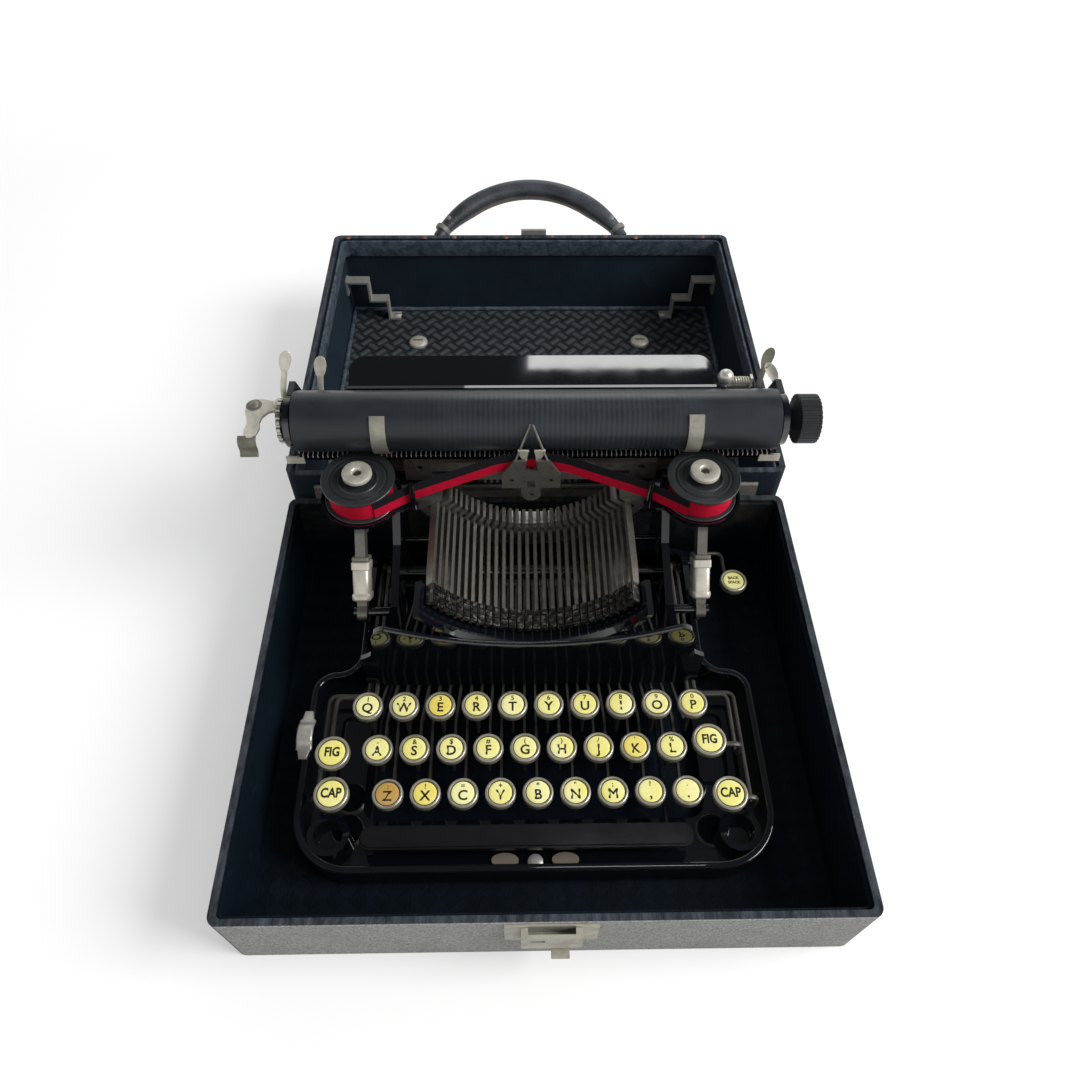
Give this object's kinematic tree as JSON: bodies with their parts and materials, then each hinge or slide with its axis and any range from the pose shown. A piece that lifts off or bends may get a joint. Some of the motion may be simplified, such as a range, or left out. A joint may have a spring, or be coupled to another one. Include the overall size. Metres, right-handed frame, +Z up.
{
  "type": "folding typewriter",
  "caption": "Folding portable typewriter standing in an open carrying case, with hinged upper frame, sliding carriage, roller, sprung keys, ribbon spools and a hinged lid with a handle.",
  "frame": {"origin": "centre of the case tray's bottom face, on the table", "axes": "+X to the machine's right, +Y from the keyboard to the back and along the open lid, +Z up"},
  "size_m": [0.2923, 0.5215, 0.1406],
  "materials": {
    "covered_board": "grained black cloth over board, worn grey at the edges",
    "woven_lining": "black woven pattern",
    "aged_steel": "dull grey steel with light tarnish",
    "aged_nickel": "worn nickel with rust spots",
    "bright_nickel": "polished nickel",
    "key_nickel": "nickel rings on cream discs, steel levers",
    "handle_leather": "black stitched leather, worn brown",
    "black_enamel": "gloss black enamel",
    "black_rubber": "matt",
    "black_plastic": "gloss black",
    "spool_metal": "satin dark grey",
    "inked_ribbon": "black above, red below",
    "roller_rubber": "satin blue-grey rubber"
  },
  "bodies": {
    "case_and_base": {"case_tray": "covered_board", "hinge_tray_leaf": "aged_steel", "latch_plate": "aged_nickel", "base_frame": "black_enamel", "rubber_feet": "black_rubber", "front_panel": "black_enamel", "type_segment": "aged_steel", "typebars": "aged_steel"},
    "lid": {"case_lid": "covered_board", "lid_lining": "woven_lining", "hinge_lid_leaf": "aged_steel", "lid_fittings": "aged_nickel"},
    "handle": {"carry_handle": "handle_leather"},
    "latch_button": {"latch_button": "aged_nickel"},
    "upper_frame": {"folding_frame": "black_enamel", "carriage_rail": "aged_steel", "ribbon": "inked_ribbon", "type_guide": "aged_steel"},
    "carriage": {"carriage_frame": "black_enamel", "paper_table": "black_enamel", "paper_fingers": "bright_nickel"},
    "roller": {"platen": "roller_rubber"},
    "spool_left": {"ribbon_spool_left": "spool_metal"},
    "spool_right": {"ribbon_spool_right": "spool_metal"},
    "return_lever": {"return_lever": "bright_nickel"},
    "release_levers": {"release_levers": "bright_nickel"},
    "arm_catches": {"arm_catches": "bright_nickel"},
    "cap_keys": {"cap_keys": "key_nickel"},
    "fig_keys": {"fig_keys": "key_nickel"},
    "space_bar": {"space_bar": "black_plastic"},
    "back_spacer": {"back_space_key": "key_nickel"},
    "shift_lock": {"shift_lock": "bright_nickel"},
    "key_q": {"key_q": "key_nickel"},
    "key_w": {"key_w": "key_nickel"},
    "key_e": {"key_e": "key_nickel"},
    "key_r": {"key_r": "key_nickel"},
    "key_t": {"key_t": "key_nickel"},
    "key_y": {"key_y": "key_nickel"},
    "key_u": {"key_u": "key_nickel"},
    "key_i": {"key_i": "key_nickel"},
    "key_o": {"key_o": "key_nickel"},
    "key_p": {"key_p": "key_nickel"},
    "key_a": {"key_a": "key_nickel"},
    "key_s": {"key_s": "key_nickel"},
    "key_d": {"key_d": "key_nickel"},
    "key_f": {"key_f": "key_nickel"},
    "key_g": {"key_g": "key_nickel"},
    "key_h": {"key_h": "key_nickel"},
    "key_j": {"key_j": "key_nickel"},
    "key_k": {"key_k": "key_nickel"},
    "key_l": {"key_l": "key_nickel"},
    "key_z": {"key_z": "key_nickel"},
    "key_x": {"key_x": "key_nickel"},
    "key_c": {"key_c": "key_nickel"},
    "key_v": {"key_v": "key_nickel"},
    "key_b": {"key_b": "key_nickel"},
    "key_n": {"key_n": "key_nickel"},
    "key_m": {"key_m": "key_nickel"},
    "key_comma": {"key_comma": "key_nickel"},
    "key_period": {"key_period": "key_nickel"}
  },
  "joints": [
    {"name": "lid_hinge", "type": "hinge", "parent": "case_and_base", "child": "lid", "pos_m": [0, 0.1163, 0.0585], "axis": [1, 0, 0], "range_deg": [0, 60]},
    {"name": "upper_frame_fold", "type": "hinge", "parent": "case_and_base", "child": "upper_frame", "pos_m": [-0.004, 0.038, 0.05], "axis": [1, 0, 0], "range_deg": [0, 112]},
    {"name": "carriage_slide", "type": "slide", "parent": "upper_frame", "child": "carriage", "axis": [1, 0, 0], "range_m": [-0.065, 0.058]},
    {"name": "roller_turn", "type": "hinge", "parent": "carriage", "child": "roller", "pos_m": [-0.0011, 0.1066, 0.12], "axis": [1, 0, 0], "continuous": true},
    {"name": "spool_left_turn", "type": "hinge", "parent": "upper_frame", "child": "spool_left", "pos_m": [-0.091, 0.0825, 0.0895], "axis": [0, 0, 1], "continuous": true},
    {"name": "spool_right_turn", "type": "hinge", "parent": "upper_frame", "child": "spool_right", "pos_m": [0.083, 0.0825, 0.0895], "axis": [0, 0, 1], "continuous": true},
    {"name": "handle_swing", "type": "hinge", "parent": "lid", "child": "handle", "pos_m": [0, 0.3553, 0.056], "axis": [1, 0, 0], "range_deg": [-110, 55]},
    {"name": "return_lever_swing", "type": "hinge", "parent": "carriage", "child": "return_lever", "pos_m": [-0.1323, 0.12, 0.118], "axis": [0, 0, 1], "range_deg": [0, 20], "stiffness_Nm_per_rad": 0.05, "springref_deg": -8.59},
    {"name": "release_levers_rock", "type": "hinge", "parent": "carriage", "child": "release_levers", "pos_m": [-0.0011, 0.128, 0.112], "axis": [1, 0, 0], "range_deg": [0, 8]},
    {"name": "arm_catches_slide", "type": "slide", "parent": "upper_frame", "child": "arm_catches", "axis": [0, 0.6884, 0.7254], "range_m": [0, 0.005]},
    {"name": "cap_keys_press", "type": "hinge", "parent": "case_and_base", "child": "cap_keys", "pos_m": [-0.004, 0.091, 0.014], "axis": [1, 0, 0], "range_deg": [0, 2], "stiffness_Nm_per_rad": 1.5, "springref_deg": -6.88},
    {"name": "fig_keys_press", "type": "hinge", "parent": "case_and_base", "child": "fig_keys", "pos_m": [-0.004, 0.084, 0.022], "axis": [1, 0, 0], "range_deg": [0, 2.2], "stiffness_Nm_per_rad": 1.5, "springref_deg": -6.88},
    {"name": "space_bar_press", "type": "hinge", "parent": "case_and_base", "child": "space_bar", "pos_m": [-0.004, 0.076, 0.018], "axis": [1, 0, 0], "range_deg": [0, 2], "stiffness_Nm_per_rad": 1, "springref_deg": -6.88},
    {"name": "back_spacer_press", "type": "hinge", "parent": "case_and_base", "child": "back_spacer", "pos_m": [0.09, 0.091, 0.018], "axis": [1, 0, 0], "range_deg": [0, 8], "stiffness_Nm_per_rad": 0.1, "springref_deg": -8.59},
    {"name": "shift_lock_slide", "type": "slide", "parent": "case_and_base", "child": "shift_lock", "axis": [0, 1, 0], "range_m": [0, 0.004]},
    {"name": "latch_button_press", "type": "slide", "parent": "case_and_base", "child": "latch_button", "axis": [0, 0, -1], "range_m": [0, 0.003], "stiffness_N_per_m": 60, "springref_m": -0.004},
    {"name": "key_q_press", "type": "hinge", "parent": "case_and_base", "child": "key_q", "pos_m": [-0.004, 0.076, 0.018], "axis": [1, 0, 0], "range_deg": [0, 5.5], "stiffness_Nm_per_rad": 0.3, "springref_deg": -11.46},
    {"name": "key_w_press", "type": "hinge", "parent": "case_and_base", "child": "key_w", "pos_m": [-0.004, 0.076, 0.018], "axis": [1, 0, 0], "range_deg": [0, 5.5], "stiffness_Nm_per_rad": 0.3, "springref_deg": -11.46},
    {"name": "key_e_press", "type": "hinge", "parent": "case_and_base", "child": "key_e", "pos_m": [-0.004, 0.076, 0.018], "axis": [1, 0, 0], "range_deg": [0, 5.5], "stiffness_Nm_per_rad": 0.3, "springref_deg": -11.46},
    {"name": "key_r_press", "type": "hinge", "parent": "case_and_base", "child": "key_r", "pos_m": [-0.004, 0.076, 0.018], "axis": [1, 0, 0], "range_deg": [0, 5.5], "stiffness_Nm_per_rad": 0.3, "springref_deg": -11.46},
    {"name": "key_t_press", "type": "hinge", "parent": "case_and_base", "child": "key_t", "pos_m": [-0.004, 0.076, 0.018], "axis": [1, 0, 0], "range_deg": [0, 5.5], "stiffness_Nm_per_rad": 0.3, "springref_deg": -11.46},
    {"name": "key_y_press", "type": "hinge", "parent": "case_and_base", "child": "key_y", "pos_m": [-0.004, 0.076, 0.018], "axis": [1, 0, 0], "range_deg": [0, 5.5], "stiffness_Nm_per_rad": 0.3, "springref_deg": -11.46},
    {"name": "key_u_press", "type": "hinge", "parent": "case_and_base", "child": "key_u", "pos_m": [-0.004, 0.076, 0.018], "axis": [1, 0, 0], "range_deg": [0, 5.5], "stiffness_Nm_per_rad": 0.3, "springref_deg": -11.46},
    {"name": "key_i_press", "type": "hinge", "parent": "case_and_base", "child": "key_i", "pos_m": [-0.004, 0.076, 0.018], "axis": [1, 0, 0], "range_deg": [0, 5.5], "stiffness_Nm_per_rad": 0.3, "springref_deg": -11.46},
    {"name": "key_o_press", "type": "hinge", "parent": "case_and_base", "child": "key_o", "pos_m": [-0.004, 0.076, 0.018], "axis": [1, 0, 0], "range_deg": [0, 5.5], "stiffness_Nm_per_rad": 0.3, "springref_deg": -11.46},
    {"name": "key_p_press", "type": "hinge", "parent": "case_and_base", "child": "key_p", "pos_m": [-0.004, 0.076, 0.018], "axis": [1, 0, 0], "range_deg": [0, 5.5], "stiffness_Nm_per_rad": 0.3, "springref_deg": -11.46},
    {"name": "key_a_press", "type": "hinge", "parent": "case_and_base", "child": "key_a", "pos_m": [-0.004, 0.076, 0.018], "axis": [1, 0, 0], "range_deg": [0, 4.6], "stiffness_Nm_per_rad": 0.3, "springref_deg": -11.46},
    {"name": "key_s_press", "type": "hinge", "parent": "case_and_base", "child": "key_s", "pos_m": [-0.004, 0.076, 0.018], "axis": [1, 0, 0], "range_deg": [0, 4.6], "stiffness_Nm_per_rad": 0.3, "springref_deg": -11.46},
    {"name": "key_d_press", "type": "hinge", "parent": "case_and_base", "child": "key_d", "pos_m": [-0.004, 0.076, 0.018], "axis": [1, 0, 0], "range_deg": [0, 4.6], "stiffness_Nm_per_rad": 0.3, "springref_deg": -11.46},
    {"name": "key_f_press", "type": "hinge", "parent": "case_and_base", "child": "key_f", "pos_m": [-0.004, 0.076, 0.018], "axis": [1, 0, 0], "range_deg": [0, 4.6], "stiffness_Nm_per_rad": 0.3, "springref_deg": -11.46},
    {"name": "key_g_press", "type": "hinge", "parent": "case_and_base", "child": "key_g", "pos_m": [-0.004, 0.076, 0.018], "axis": [1, 0, 0], "range_deg": [0, 4.6], "stiffness_Nm_per_rad": 0.3, "springref_deg": -11.46},
    {"name": "key_h_press", "type": "hinge", "parent": "case_and_base", "child": "key_h", "pos_m": [-0.004, 0.076, 0.018], "axis": [1, 0, 0], "range_deg": [0, 4.6], "stiffness_Nm_per_rad": 0.3, "springref_deg": -11.46},
    {"name": "key_j_press", "type": "hinge", "parent": "case_and_base", "child": "key_j", "pos_m": [-0.004, 0.076, 0.018], "axis": [1, 0, 0], "range_deg": [0, 4.6], "stiffness_Nm_per_rad": 0.3, "springref_deg": -11.46},
    {"name": "key_k_press", "type": "hinge", "parent": "case_and_base", "child": "key_k", "pos_m": [-0.004, 0.076, 0.018], "axis": [1, 0, 0], "range_deg": [0, 4.6], "stiffness_Nm_per_rad": 0.3, "springref_deg": -11.46},
    {"name": "key_l_press", "type": "hinge", "parent": "case_and_base", "child": "key_l", "pos_m": [-0.004, 0.076, 0.018], "axis": [1, 0, 0], "range_deg": [0, 4.6], "stiffness_Nm_per_rad": 0.3, "springref_deg": -11.46},
    {"name": "key_z_press", "type": "hinge", "parent": "case_and_base", "child": "key_z", "pos_m": [-0.004, 0.076, 0.018], "axis": [1, 0, 0], "range_deg": [0, 3.9], "stiffness_Nm_per_rad": 0.3, "springref_deg": -11.46},
    {"name": "key_x_press", "type": "hinge", "parent": "case_and_base", "child": "key_x", "pos_m": [-0.004, 0.076, 0.018], "axis": [1, 0, 0], "range_deg": [0, 3.9], "stiffness_Nm_per_rad": 0.3, "springref_deg": -11.46},
    {"name": "key_c_press", "type": "hinge", "parent": "case_and_base", "child": "key_c", "pos_m": [-0.004, 0.076, 0.018], "axis": [1, 0, 0], "range_deg": [0, 3.9], "stiffness_Nm_per_rad": 0.3, "springref_deg": -11.46},
    {"name": "key_v_press", "type": "hinge", "parent": "case_and_base", "child": "key_v", "pos_m": [-0.004, 0.076, 0.018], "axis": [1, 0, 0], "range_deg": [0, 3.9], "stiffness_Nm_per_rad": 0.3, "springref_deg": -11.46},
    {"name": "key_b_press", "type": "hinge", "parent": "case_and_base", "child": "key_b", "pos_m": [-0.004, 0.076, 0.018], "axis": [1, 0, 0], "range_deg": [0, 3.9], "stiffness_Nm_per_rad": 0.3, "springref_deg": -11.46},
    {"name": "key_n_press", "type": "hinge", "parent": "case_and_base", "child": "key_n", "pos_m": [-0.004, 0.076, 0.018], "axis": [1, 0, 0], "range_deg": [0, 3.9], "stiffness_Nm_per_rad": 0.3, "springref_deg": -11.46},
    {"name": "key_m_press", "type": "hinge", "parent": "case_and_base", "child": "key_m", "pos_m": [-0.004, 0.076, 0.018], "axis": [1, 0, 0], "range_deg": [0, 3.9], "stiffness_Nm_per_rad": 0.3, "springref_deg": -11.46},
    {"name": "key_comma_press", "type": "hinge", "parent": "case_and_base", "child": "key_comma", "pos_m": [-0.004, 0.076, 0.018], "axis": [1, 0, 0], "range_deg": [0, 3.9], "stiffness_Nm_per_rad": 0.3, "springref_deg": -11.46},
    {"name": "key_period_press", "type": "hinge", "parent": "case_and_base", "child": "key_period", "pos_m": [-0.004, 0.076, 0.018], "axis": [1, 0, 0], "range_deg": [0, 3.9], "stiffness_Nm_per_rad": 0.3, "springref_deg": -11.46}
  ],
  "couplings": [
    {"joint": "spool_right_turn", "follows": "spool_left_turn", "ratio": 1}
  ]
}
